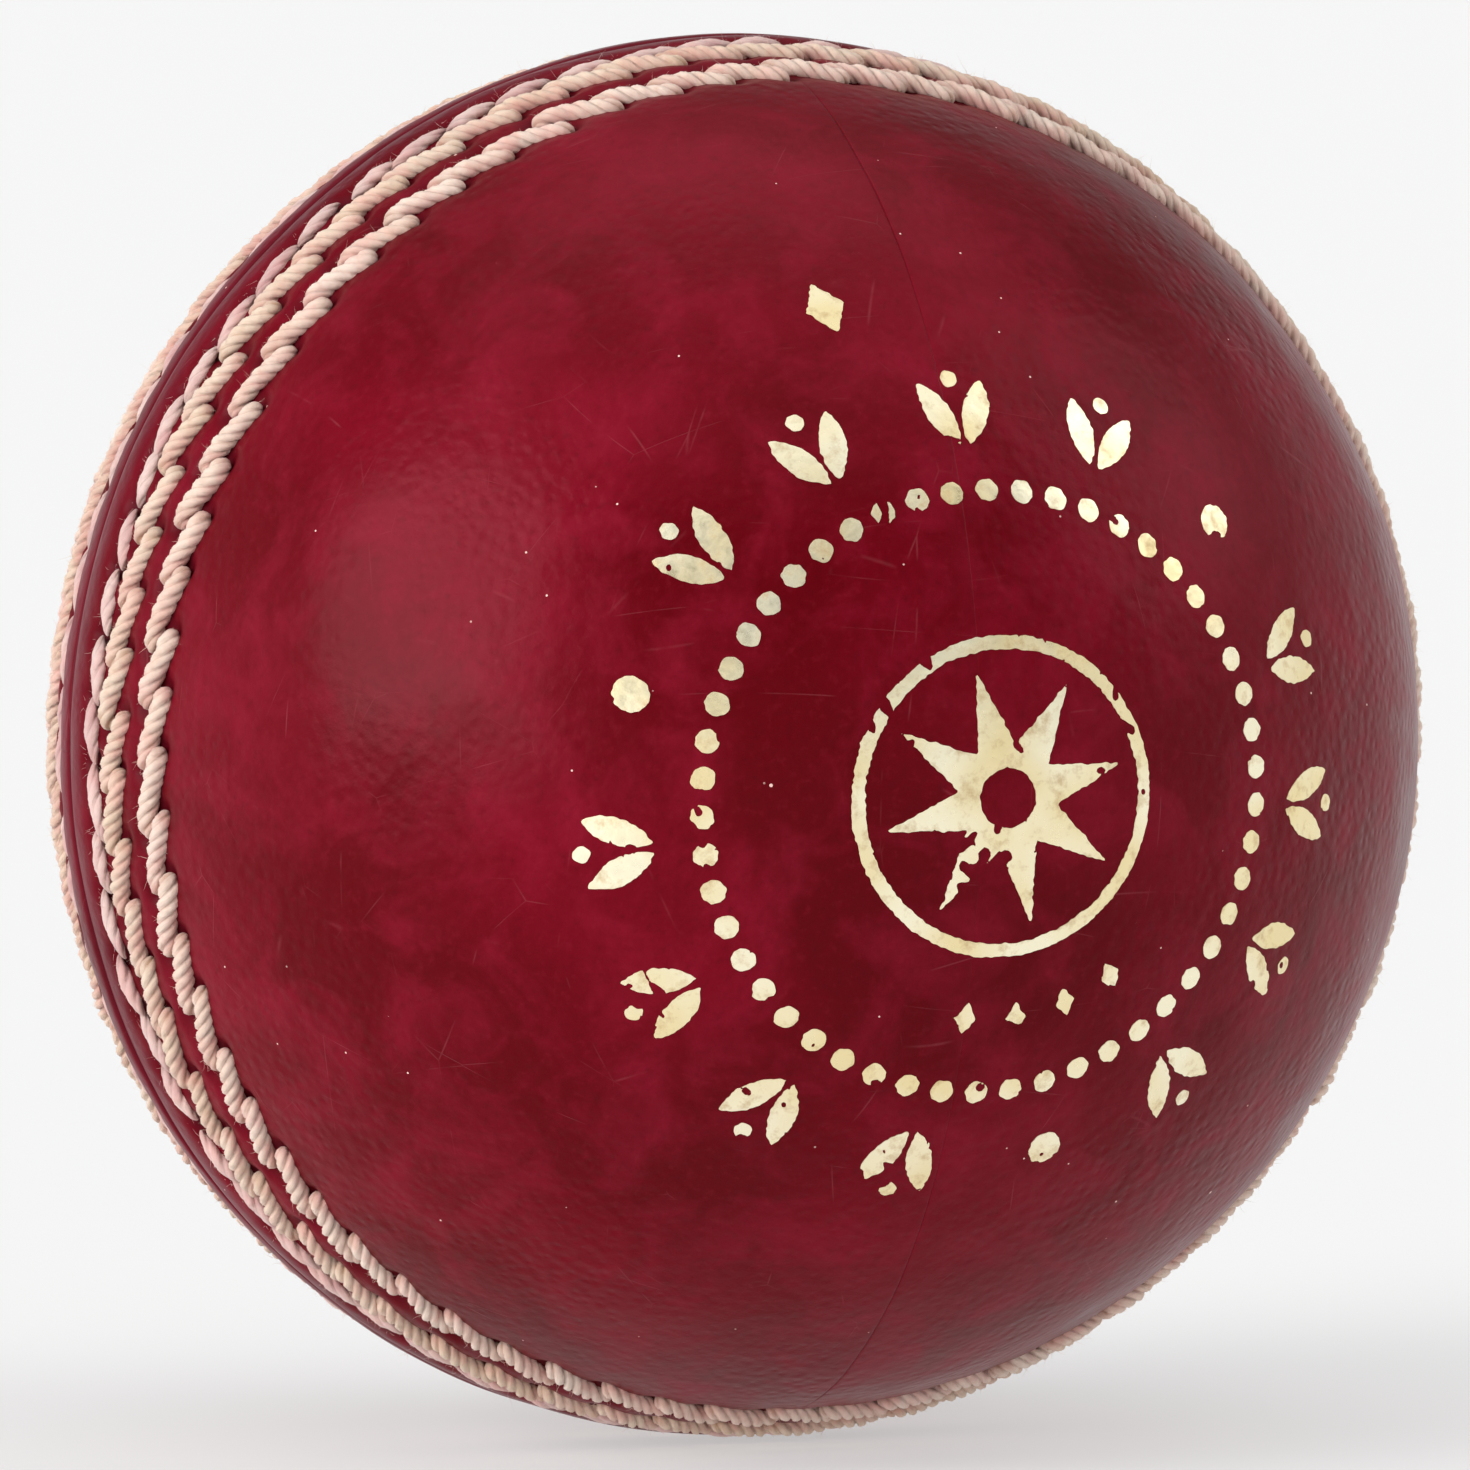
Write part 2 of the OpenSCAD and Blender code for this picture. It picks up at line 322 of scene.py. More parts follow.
def thread_material(name, light, shade, stain, dye, dye_share):
    """Twisted thread: paler on the plies' crests, darker in the hollows between them with dirt and
    painted shade.

    The mesh carries how high a point is on its ply ("ply"), how near the leather ("low"),
    each stitch's own shade ("tone") and how near its ends ("join").
    """
    g = Graph(name)
    uv = g.node("UVMap", uv_map="UVMap").outputs[0]
    ply, low, tone, join = (g.attribute(key) for key in ("ply", "low", "tone", "join"))
    # Fibres lie across each ply at a small angle
    fibre_way = g.stretched((0.9, 9.0, 1.0), (0.0, 0.0, 0.5), uv)
    fibre = g.node(
        "TexNoise", {"Vector": fibre_way, "Scale": 2.2, "Detail": 4.0, "Roughness": 0.65}
    ).outputs["Fac"]
    dirt_and_shade_patches = g.noise(2.6, 3.0, 0.6)
    wax = g.noise(1.1, 3.0, 0.55)

    colour = g.mix(tone, light, shade)
    colour = g.mix(g.times(g.span(fibre, 0.6, 0.35), 0.3), colour, darker(shade, 0.72))
    colour = g.mix(g.times(g.span(wax, 0.5, 0.72), 0.35), colour, stain)
    # Dirt and painted shade darken the hollows between the plies, more in some patches than in
    # others
    dirt_and_shade_in_hollows = g.times(g.span(ply, 0.45, 0.0), g.span(dirt_and_shade_patches, 0.35, 0.65, 0.35, 1.0))
    colour = g.mix(g.times(dirt_and_shade_in_hollows, 0.75), colour, darker(stain, 0.45))
    # The leather's dye creeps up from below
    pink = g.times(g.span(g.noise(1.7, 2.0), 0.42, 0.62, 0.25, 1.0), g.span(low, 0.25, 1.0))
    colour = g.mix(g.times(pink, dye_share), colour, dye)
    worn = g.times(join, g.span(g.noise(1.4, 3.0, 0.6), 0.32, 0.56))
    worn = g.times(worn, g.span(ply, 1.0, 0.3, 0.4, 1.0))
    colour = g.mix(worn, colour, darker(stain, 0.7))
    blush = g.span(g.noise(2.2, 2.0), 0.48, 0.68)
    colour = g.mix(g.times(blush, 0.45), colour, (0.85, 0.50, 0.44))
    speck = g.math("LESS_THAN", g.cells(1.9), 0.035)
    speck = g.times(speck, g.span(g.noise(5, 1.0), 0.55, 0.6))
    colour = g.mix(g.times(speck, 0.8), colour, (0.06, 0.03, 0.02))

    normal = g.bump(fibre, 0.05)
    normal = g.bump(g.noise(0.16, 2.0, 0.6), 0.02, normal)
    return g.principled(
        Base_Color=colour,
        Roughness=g.span(wax, 0.3, 0.8, 0.95, 0.72),
        Normal=normal,
        Specular_IOR_Level=0.25,
        Sheen_Weight=0.35,
        Sheen_Roughness=0.6,
        Sheen_Tint=(1.0, 0.95, 0.9),
    )


def foil_material():
    g = Graph("gold_foil")
    worn = g.noise(0.9, 4.0, 0.65)
    broad = g.noise(5, 2.0)
    colour = g.mix(g.span(broad, 0.35, 0.65), (0.90, 0.76, 0.43), (0.99, 0.92, 0.68))
    colour = g.mix(g.times(g.span(worn, 0.52, 0.72), 0.6), colour, (0.55, 0.36, 0.16))
    wrinkle = g.cells(0.55, feature="SMOOTH_F1")
    normal = g.bump(wrinkle, 0.02)
    normal = g.bump(g.noise(0.25, 3.0, 0.6), 0.012, normal)
    return g.principled(
        Base_Color=colour,
        Metallic=0.9,
        Roughness=g.span(worn, 0.35, 0.7, 0.27, 0.5),
        Normal=normal,
    )


def cork_material():
    g = Graph("cork_grain")
    granules = g.cells(2.4, output="Color")
    tone = g.node("SeparateColor", {0: granules}).outputs[0]
    gaps = g.span(g.cells(2.4, feature="DISTANCE_TO_EDGE"), 0.0, 0.09)
    colour = g.mix(tone, (0.30, 0.16, 0.07), (0.58, 0.38, 0.2))
    dark = g.times(g.span(g.noise(0.7, 4.0), 0.5, 0.7), 0.5)
    colour = g.mix(dark, colour, (0.16, 0.08, 0.04))
    colour = g.mix(gaps, (0.1, 0.05, 0.025), colour)
    normal = g.bump(gaps, 0.12)
    normal = g.bump(g.noise(0.4, 3.0), 0.05, normal)
    roughness = g.span(tone, 0.0, 1.0, 0.8, 0.95)
    return g.principled(Base_Color=colour, Roughness=roughness, Normal=normal)


def wool_material():
    g = Graph("wound_wool")
    heights = []
    for turn in ((0.0, 0.0, 0.0), (1.1, 0.3, 0.0), (0.4, 1.2, 0.7)):
        bands = g.node(
            "TexWave",
            {
                "Vector": g.stretched((1.0, 1.0, 1.0), turn),
                "Scale": 320.0,
                "Distortion": 2.5,
                "Detail": 2.0,
                "Detail Scale": 1.5,
            },
            wave_type="RINGS",
            rings_direction="Z",
        ).outputs["Fac"]
        share = g.span(g.noise(7, 1.0, vector=g.stretched((1.0, 1.0, 1.0), turn)), 0.45, 0.55)
        heights.append(g.times(bands, share))
    strand = g.math("MAXIMUM", g.math("MAXIMUM", heights[0], heights[1]), heights[2])
    colour = g.mix(strand, (0.30, 0.2, 0.11), (0.78, 0.66, 0.48))
    fuzzy = g.times(g.span(g.noise(0.3, 3.0), 0.4, 0.7), 0.35)
    colour = g.mix(fuzzy, colour, (0.5, 0.36, 0.22))
    normal = g.bump(strand, 0.35)
    roughness = g.span(strand, 0.0, 1.0, 0.95, 0.8)
    return g.principled(Base_Color=colour, Roughness=roughness, Normal=normal, Sheen_Weight=0.3)


def lining_material():
    g = Graph("lining_leather")
    nap = g.noise(0.5, 4.0, 0.7)
    colour = g.mix(g.span(g.noise(6, 3.0), 0.35, 0.65), (0.36, 0.17, 0.12), (0.55, 0.32, 0.24))
    colour = g.mix(g.times(g.span(nap, 0.4, 0.7), 0.4), colour, (0.66, 0.45, 0.36))
    roughness = g.span(nap, 0.3, 0.7, 0.8, 0.98)
    return g.principled(Base_Color=colour, Roughness=roughness, Normal=g.bump(nap, 0.06))


def linen_material():
    g = Graph("hidden_thread")
    slant = g.stretched((1.0, 1.0, 0.6), (0.0, 0.8, 0.4))
    twist = g.node("TexWave", {"Vector": slant, "Scale": 500.0, "Distortion": 0.6}).outputs["Fac"]
    colour = g.mix(twist, (0.42, 0.33, 0.2), (0.82, 0.75, 0.6))
    stained = g.times(g.span(g.noise(1.2, 3.0), 0.45, 0.7), 0.4)
    colour = g.mix(stained, colour, (0.5, 0.36, 0.22))
    roughness = g.span(twist, 0.0, 1.0, 0.85, 0.65)
    return g.principled(Base_Color=colour, Roughness=roughness, Normal=g.bump(twist, 0.08))


# ---------------------------------------------------------------- stitches


class Row:
    """One row of stitches on one half, with each stitch's own small differences.

    `half_width` is how far a stitch's ends lie to each side of the row, `lean` the way it
    slants, `vary` how uneven the stitches are, `top` how far the middle of the thread
    stands off the leather, and `phase` the first stitch's place as a share of the pitch.
    """

    def __init__(self, seed, arc, length, half_width, radius, lean, vary, top, plies, phase):
        rng = np.random.default_rng(seed)
        n = STITCHES
        self.arc, self.lean, self.plies = arc, lean, plies
        self.round_r = COVER_R * math.cos(arc / COVER_R)
        self.lon = (np.arange(n) + phase) * PITCH + rng.normal(0, 0.13 * vary, n) / self.round_r
        self.length = length * (1 + vary * np.clip(rng.normal(0, 0.055, n), -0.16, 0.16))
        self.half = half_width * (1 + vary * np.clip(rng.normal(0, 0.09, n), -0.25, 0.25))
        self.radius = radius * (1 + np.clip(rng.normal(0, 0.035, n), -0.08, 0.08))
        self.top = top + rng.normal(0, 0.035, n)
        self.drift = np.clip(rng.normal(0, 0.09 * vary, n), -0.25, 0.25)
        self.curve = rng.uniform(0.55, 0.95, n)
        self.skew = rng.normal(0, 0.06 * vary, n)
        self.twist = rng.uniform(0, 2 * math.pi, n)
        self.twist_len = rng.uniform(0.93, 1.08, n)
        self.tone = rng.uniform(0, 1, n)
        self.rng = rng

    def path(self, t):
        """Millimetres along the row and across it, at shares t of each stitch's length."""
        t = t[None, :]
        bend = (1 - 2 * t) * (1 - self.curve[:, None]) + np.cos(math.pi * t) * self.curve[:, None]
        u = self.length[:, None] * (t - 0.5)
        v = self.lean * self.half[:, None] * bend + self.drift[:, None]
        v = v + self.skew[:, None] * np.sin(math.pi * t)
        return u, v

    def lon_of(self, u):
        return self.lon[:, None] + u / self.round_r


def end_shape(t, ends):
    """Share of the full thickness along a stitch: domed or tapered ends."""
    if not ends["dome"]:
        return np.sin(math.pi * (0.02 + 0.96 * t)) ** ends["taper"]
    from_end = np.clip(np.minimum(t, 1 - t) / ends["dome"], 0, 1)
    return np.sqrt(1 - 0.97 * (1 - from_end) ** 2) * (1 - ends["thin"] * smooth(t, 0.55, 1))


def thread_mesh(row, steps, per_ply, twist_pitch, depth, widen, flatten, ends, hairs):
    """Every stitch of a row as a twisted thread that dives into the leather at its ends.

    `steps` rings run along a stitch, with `per_ply` points round each ply. `depth` is how
    far the plies stand out, and `widen` and `flatten` press the section against the leather.
    """
    n, around = STITCHES, row.plies * per_ply
    t = np.linspace(0, 1, steps)
    t = 0.5 - 0.5 * np.cos(math.pi * t) * (0.75 + 0.25 * np.abs(np.cos(math.pi * t)))
    u, v = row.path(t)
    head, tail = np.exp(-t / ends["head"]), np.exp(-(1 - t) / ends["tail"])
    arc = row.arc + v
    fall = ends["dive"] * (head + tail) + ends["sag"] * smooth(t, 0.45, 1)
    centre = on_ball(arc, row.lon_of(u), ridge_r(arc) + row.top[:, None] - fall[None, :])
    along = unit(np.gradient(centre, axis=1))
    up = unit(centre)
    up = unit(up - along * (up * along).sum(-1, keepdims=True))
    side = np.cross(up, along)
    step_lengths = np.linalg.norm(np.diff(centre, axis=1), axis=-1)
    run = np.concatenate([np.zeros((n, 1)), np.cumsum(step_lengths, axis=1)], axis=1)

    place = (np.arange(around) % per_ply) / per_ply - 0.5
    ply = np.sqrt(np.clip(1 - 0.96 * (2 * place) ** 2, 0, 1))
    lobe = 1 - depth + depth * ply
    angle = (
        row.twist[:, None, None]
        + 2 * math.pi * run[:, :, None] / (twist_pitch * row.twist_len[:, None, None])
        + 2 * math.pi * np.arange(around) / around
    )
    shape = end_shape(t, ends)
    start = row.twist[:, None]
    lumps = 1 + 0.05 * np.sin(run * 2.1 + start) + 0.03 * np.sin(run * 5.3 + 2 * start)
    radius = (row.radius[:, None] * lumps * shape[None, :])[:, :, None] * lobe
    radius = radius + 0.014 * row.rng.normal(size=radius.shape) * shape[None, :, None]
    points = (
        centre[:, :, None, :]
        + (radius * np.cos(angle) * widen)[..., None] * side[:, :, None, :]
        + (radius * np.sin(angle) * flatten)[..., None] * up[:, :, None, :]
    )

    def everywhere(values):
        return np.broadcast_to(values, points.shape[:3]).reshape(-1)

    height = np.linalg.norm(points, axis=-1) - ridge_r(arc)[:, :, None]
    join = np.clip(0.9 * smooth(t, 0.2, 0.0) + smooth(t, 0.72, 1), 0, 1)
    tone = row.tone[:, None, None]
    attributes = {
        "ply": everywhere(ply),
        "low": everywhere(np.clip(1 - (height + 0.15) / 0.75, 0, 1)),
        "join": everywhere(join[None, :, None]),
        "tone": everywhere(tone),
    }
    along_uv, round_uv = run[:, :, None] + 7.3 * tone, np.arange(around) / per_ply
    uv = np.stack([everywhere(along_uv), everywhere(round_uv)], -1)
    flat = points.reshape(-1, 3)

    lint, lint_faces, owner = fuzz(row, points, centre, along, hairs)
    groups = tube_faces(n, steps, around) + [faces + len(flat) for faces in lint_faces]
    nought = np.zeros(len(lint))
    extra = {"ply": nought + 1, "low": nought, "join": nought, "tone": row.tone[owner]}
    attributes = {key: np.concatenate([attributes[key], extra[key]]) for key in attributes}
    uv = np.concatenate([uv, np.zeros((len(lint), 2))])
    return np.concatenate([flat, lint]), groups, attributes, uv


def fuzz(row, points, centre, along, per_stitch):
    """Loose fibres: thin curved hairs of three sides that stand off the thread.

    Returns their points and faces, and the stitch that each point belongs to.
    """
    rng = row.rng
    n, steps, around = points.shape[:3]
    count, rings, sides = n * per_stitch, 3, 3
    k = np.repeat(np.arange(n), per_stitch)
    i = rng.integers(int(steps * 0.12), int(steps * 0.88), count)
    j = rng.integers(0, around, count)
    root = points[k, i, j]
    out = unit(root - centre[k, i])
    away = unit(root)
    # A fibre whose root is under the thread starts at its top instead
    facing = (out * away).sum(-1) > -0.1
    out = np.where(facing[:, None], out, -out)
    root = np.where(facing[:, None], root, centre[k, i] + out * row.radius[k, None] * 0.9)
    cross = np.cross(out, along[k, i])
    head = unit(
        out * rng.uniform(0.25, 0.9, (count, 1))
        + along[k, i] * rng.normal(0, 0.8, (count, 1))
        + cross * rng.normal(0, 0.5, (count, 1))
    )
    bend = unit(rng.normal(size=(count, 3)))
    length = rng.gamma(2.2, 0.095, count)[:, None]
    q = np.linspace(0, 1, rings)[None, :, None]
    spine = root[:, None] - 0.02 * out[:, None] + head[:, None] * length[:, None] * q
    spine = spine + bend[:, None] * length[:, None] * 0.45 * q**2
    e1 = unit(np.cross(head, bend))[:, None, None, :]
    e2 = unit(np.cross(head, e1[:, 0, 0]))[:, None, None, :]
    a = (np.arange(sides) * 2 * math.pi / sides)[None, None, :, None]
    thick = rng.uniform(0.006, 0.011, (count, 1, 1, 1)) * (1.15 - q[..., None])
    verts = (spine[:, :, None, :] + thick * (np.cos(a) * e1 + np.sin(a) * e2)).reshape(-1, 3)
    return verts, tube_faces(count, rings, sides), np.repeat(k, rings * sides)


# ---------------------------------------------------------------- leather


RIPPLE_BIG, RIPPLE_SMALL = Ripple(11, 17), Ripple(12, 5.5)
NEAR_ROW = 3.2  # arc from a row beyond which the row leaves the leather as it was
HOLE_DEPTH, BED_DEPTH = 0.27, 0.1  # at the needle holes, and under the thread


def leather_height(arc, lon, rows, seam_lons):
    """How far the leather stands off ridge_r, how much painted shade and dye darken its crevices,
    and how worn at the crest.

    A Gaussian dip is exp(-distance squared / spread).
    """
    p = on_ball(arc, lon, COVER_R)
    height = 0.05 * RIPPLE_BIG(p) + 0.012 * RIPPLE_SMALL(p)
    crevice_shade_and_dye = np.zeros_like(height)
    for row in rows:
        near = np.abs(arc - row.arc) < NEAR_ROW
        if not near.any():
            continue
        near_arc, near_lon = arc[near], lon[near]
        trough_depth, trough_width = (0.18, 0.95) if row.arc == CLOSING_ARC else (0.26, 1.15)
        trough = np.exp(-(((near_arc - row.arc) / trough_width) ** 2))
        drop = trough_depth * trough
        # Painted shade and dye in the trough by the row, at the needle holes and under the thread
        shade_and_dye_share = 0.3 * trough
        nearest = np.round((near_lon - row.lon[0]) / PITCH).astype(int)
        for step in (-1, 0, 1):
            k = (nearest + step) % STITCHES
            du = ((near_lon - row.lon[k] + math.pi) % (2 * math.pi) - math.pi) * row.round_r
            dv = near_arc - row.arc - row.drift[k]
            for end in (-1, 1):
                hole_v = -end * row.lean * row.half[k]
                d2 = (du - end * row.length[k] / 2) ** 2 + (dv - hole_v) ** 2
                drop = drop + HOLE_DEPTH * np.exp(-d2 / 0.34)
                shade_and_dye_share = shade_and_dye_share + 0.62 * np.exp(-d2 / 0.42)
            # Under the thread itself
            slope = -row.lean * 2 * row.half[k] / row.length[k]
            along = np.clip(du, -row.length[k] / 2, row.length[k] / 2)
            d2 = (du - along) ** 2 + (dv - slope * along) ** 2
            drop = drop + BED_DEPTH * np.exp(-d2 / 0.6)
            shade_and_dye_share = np.maximum(shade_and_dye_share, 0.8 * np.exp(-d2 / 0.75))
        height[near] -= drop
        crevice_shade_and_dye[near] = np.maximum(crevice_shade_and_dye[near], np.clip(shade_and_dye_share, 0, 1))
    # The joint, where the two cups meet edge to edge
    height -= 0.20 * np.exp(-((arc / 0.14) ** 2)) + 0.06 * np.exp(-((arc / 0.5) ** 2))
    # Painted shade and dye in the joint's groove
    crevice_shade_and_dye = np.maximum(crevice_shade_and_dye, 0.75 * np.exp(-((arc / 0.16) ** 2)))
    # The quarter seam, a hairline that closes towards the pole
    for seam in seam_lons:
        turn = np.abs((lon - seam + math.pi) % (2 * math.pi) - math.pi)
        away = turn * COVER_R * np.cos(arc / COVER_R)
        height -= 0.016 * np.exp(-((away / 0.08) ** 2))
        # Painted shade and dye along the hairline, fading towards the pole
        crevice_shade_and_dye = np.maximum(crevice_shade_and_dye, 0.2 * smooth(arc, 30, 12) * np.exp(-((away / 0.06) ** 2)))
    lift = smooth(arc, 1.9, 1.3) * 0.9
    return height, crevice_shade_and_dye, lift


def leather_quarter(start, rows, seam_lons):
    """One closed quarter of the cover, from longitude `start` half way round.

    The band under the stitches has a fine mesh and the rest a coarse one, with a row of
    seven-sided faces between them. Both are closer at the joint and the quarter seam.
    """
    close = np.array([0.0, 0.12, 0.32, 0.7])
    spare = np.linspace(1.2, math.pi * COVER_R - 1.2, 200)
    coarse = np.concatenate([close, spare, math.pi * COVER_R - close[::-1]]) / COVER_R
    fine = np.interp(np.arange(4 * (len(coarse) - 1) + 1) / 4, np.arange(len(coarse)), coarse)
    at_joint = [0.0, 0.05, 0.1, 0.16, 0.24, 0.36, 0.52, 0.7]
    band = np.concatenate([at_joint, np.arange(0.9, 11.95, 0.19)])
    rest = np.linspace(12.4, POLE_ARC - 0.35, 84)

    outer_parts, crevice_shade_and_dye_parts, lifts = [], [], []
    for arcs, lons in ((band, fine), (rest, coarse)):
        arc, lon = np.meshgrid(arcs, lons + start, indexing="ij")
        height, crevice_shade_and_dye, lift = leather_height(arc, lon, rows, seam_lons)
        outer_parts.append(on_ball(arc, lon, ridge_r(arc) + height).reshape(-1, 3))
        crevice_shade_and_dye_parts.append(crevice_shade_and_dye.ravel())
        lifts.append(lift.ravel())
    pole_arc, pole_lon = np.array([POLE_ARC]), np.array([start])
    height, crevice_shade_and_dye, _ = leather_height(pole_arc, pole_lon, [], [])
    outer_parts.append(on_ball(pole_arc, pole_lon, ridge_r(pole_arc) + height))
    crevice_shade_and_dye_parts.append(crevice_shade_and_dye)
    lifts.append(np.zeros(1))

    nf, nc, nb, nr = len(fine), len(coarse), len(band), len(rest)
    pole = nb * nf + nr * nc
    base = pole + 1

    def fine_at(i, j):
        return i * nf + j

    def coarse_at(i, j):
        return nb * nf + i * nc + j

    def ring(j):
        return base + j

    def inner_at(i, j):
        return base + nf + i * nc + j

    def grid(at, down, across):
        i, j = np.meshgrid(np.arange(down - 1), np.arange(across - 1), indexing="ij")
        i, j = i.ravel(), j.ravel()
        return np.stack([at(i, j), at(i, j + 1), at(i + 1, j + 1), at(i + 1, j)], -1)

    j = np.arange(nc - 1)
    change = np.stack(
        [fine_at(nb - 1, 4 * j + s) for s in range(5)] + [coarse_at(0, j + 1), coarse_at(0, j)], -1
    )
    cap = np.stack([coarse_at(nr - 1, j), coarse_at(nr - 1, j + 1), np.full(nc - 1, pole)], -1)
    groups = [grid(fine_at, nb, nf), grid(coarse_at, nr, nc), change, cap]

    # The inside: one fine row at the joint, then a few coarse rows to the inner pole
    inner_arcs = np.linspace(4.0, POLE_ARC - 2.0, 12)
    inner = [on_ball(np.array([0.0]), fine + start, INNER_R)]
    inner.append(on_ball(inner_arcs[:, None], (coarse + start)[None, :], INNER_R).reshape(-1, 3))
    inner.append(on_ball(pole_arc, pole_lon, INNER_R))
    ni = len(inner_arcs)
    inner_pole = base + nf + ni * nc
    change_in = np.stack(
        [ring(4 * j + s) for s in range(5)] + [inner_at(0, j + 1), inner_at(0, j)], -1
    )[:, ::-1]
    cap_in = np.stack(
        [inner_at(ni - 1, j), inner_at(ni - 1, j + 1), np.full(nc - 1, inner_pole)], -1
    )[:, ::-1]
    jf = np.arange(nf - 1)
    rim = np.stack([fine_at(0, jf + 1), fine_at(0, jf), ring(jf), ring(jf + 1)], -1)
    groups += [grid(inner_at, ni, nc)[:, ::-1], change_in, cap_in, rim]
    # The two walls at the quarter seam
    for jf_end, jc_end, order in ((0, 0, 1), (nf - 1, nc - 1, -1)):
        loop = [fine_at(i, jf_end) for i in range(nb)] + [coarse_at(i, jc_end) for i in range(nr)]
        loop += [pole, inner_pole]
        loop += [inner_at(i, jc_end) for i in reversed(range(ni))] + [ring(jf_end)]
        groups.append(np.array([loop[::order]]))
    points = np.concatenate(outer_parts + inner)
    pad = len(points) - len(np.concatenate(crevice_shade_and_dye_parts))
    attributes = {
        "crevice_shade_and_dye": np.concatenate(crevice_shade_and_dye_parts + [np.zeros(pad)]),
        "lift": np.concatenate(lifts + [np.zeros(pad)]),
    }
    return points, groups, attributes


# ---------------------------------------------------------------- stamp


STAMP_CENTRE = (math.radians(1.4), math.radians(2.3))
STAMP_TURN = math.radians(14)
BAND_R, BAND_HALF = 7.85, 0.35
STAR_POINTS, STAR_R, STAR_WAIST_R, STAR_HOLE_R = 8, 6.6, 2.7, 1.5
DOT_RING, DOTS, DOT_R = 15.7, 50, 0.62
LEAF_RING, LEAF_PLACES, LEAF_L, LEAF_W, LEAF_SPREAD = 20.0, 15, 3.9, 1.45, math.radians(24)
BUD_R = 0.47
DISC_R, DISC_EVERY, DISC_FIRST = 0.95, 5, 2  # a disc takes the place of some sprigs
LOZENGE_RING, LOZENGE_STEP, LOZENGE_L, LOZENGE_W = 11.6, math.radians(14), 1.7, 1.15
CROWN_RING, CROWN_L, CROWN_W = 27.4, 3.4, 2.3
FOIL_TOP, FOIL_FOOT = 0.032, -0.02  # over the leather's surface
CELL, REACH = 0.095, 29.7  # the stamp's grid


def fold(angle, count, offset=0.0):
    """Angle from the nearest of `count` even spokes, and which spoke that is."""
    step = 2 * math.pi / count
    which = np.round((angle - offset) / step)
    return angle - offset - which * step, which.astype(int) % count


def leaf_distance(x, y, length, width):
    """Distance outside a pointed leaf along Y, which is two arcs back to back."""
    arc_r = (length**2 + width**2) / (4 * width)
    shift = arc_r - width / 2
    return np.maximum(np.hypot(x - shift, y), np.hypot(x + shift, y)) - arc_r


def lozenge_distance(x, y, length, width):
    a, b = width / 2, length / 2
    return (np.abs(x) / a + np.abs(y) / b - 1) * a * b / math.hypot(a, b)


def stamp_distance(x, y):
    """Distance outside the stamp's marks, in millimetres on the flattened stamp."""
    reach, angle = np.hypot(x, y), np.arctan2(x, y)  # angle 0 is up, turning to the right
    d = np.abs(reach - BAND_R) - BAND_HALF
    # The star's edge is the line between an outer and an inner corner
    da, _ = fold(angle, STAR_POINTS)
    da = np.abs(da)
    px, py = reach * np.cos(da), reach * np.sin(da)
    half = math.pi / STAR_POINTS
    tip = np.array([STAR_R, 0.0])
    edge = STAR_WAIST_R * np.array([math.cos(half), math.sin(half)]) - tip
    away = np.array([edge[1], -edge[0]]) / np.hypot(*edge)
    star = (px - tip[0]) * away[0] + (py - tip[1]) * away[1]
    d = np.minimum(d, np.maximum(star, STAR_HOLE_R - reach))
    da, _ = fold(angle, DOTS)
    d = np.minimum(d, np.hypot(reach * np.cos(da) - DOT_RING, reach * np.sin(da)) - DOT_R)
    for i in (-1.5, -0.5, 0.5, 1.5):
        a = angle - math.pi - i * LOZENGE_STEP
        lx, ly = reach * np.sin(a), reach * np.cos(a) - LOZENGE_RING
        d = np.minimum(d, lozenge_distance(lx, ly, LOZENGE_L, LOZENGE_W))
    da, which = fold(angle, LEAF_PLACES, math.pi / LEAF_PLACES)
    lx, ly = reach * np.sin(da), reach * np.cos(da) - LEAF_RING
    disc = np.hypot(lx, ly) - DISC_R
    sprig = np.hypot(lx, ly - LEAF_L / 2) - BUD_R
    for side in (-1, 1):
        sx, sy = lx - side * LEAF_L * 0.27, ly
        c, s = math.cos(side * LEAF_SPREAD), math.sin(side * LEAF_SPREAD)
        leaf = leaf_distance(sx * c - sy * s, sx * s + sy * c, LEAF_L, LEAF_W)
        sprig = np.minimum(sprig, leaf)
    d = np.minimum(d, np.where(which % DISC_EVERY == DISC_FIRST, disc, sprig))
    return np.minimum(d, lozenge_distance(x, y - CROWN_RING, CROWN_L, CROWN_W))


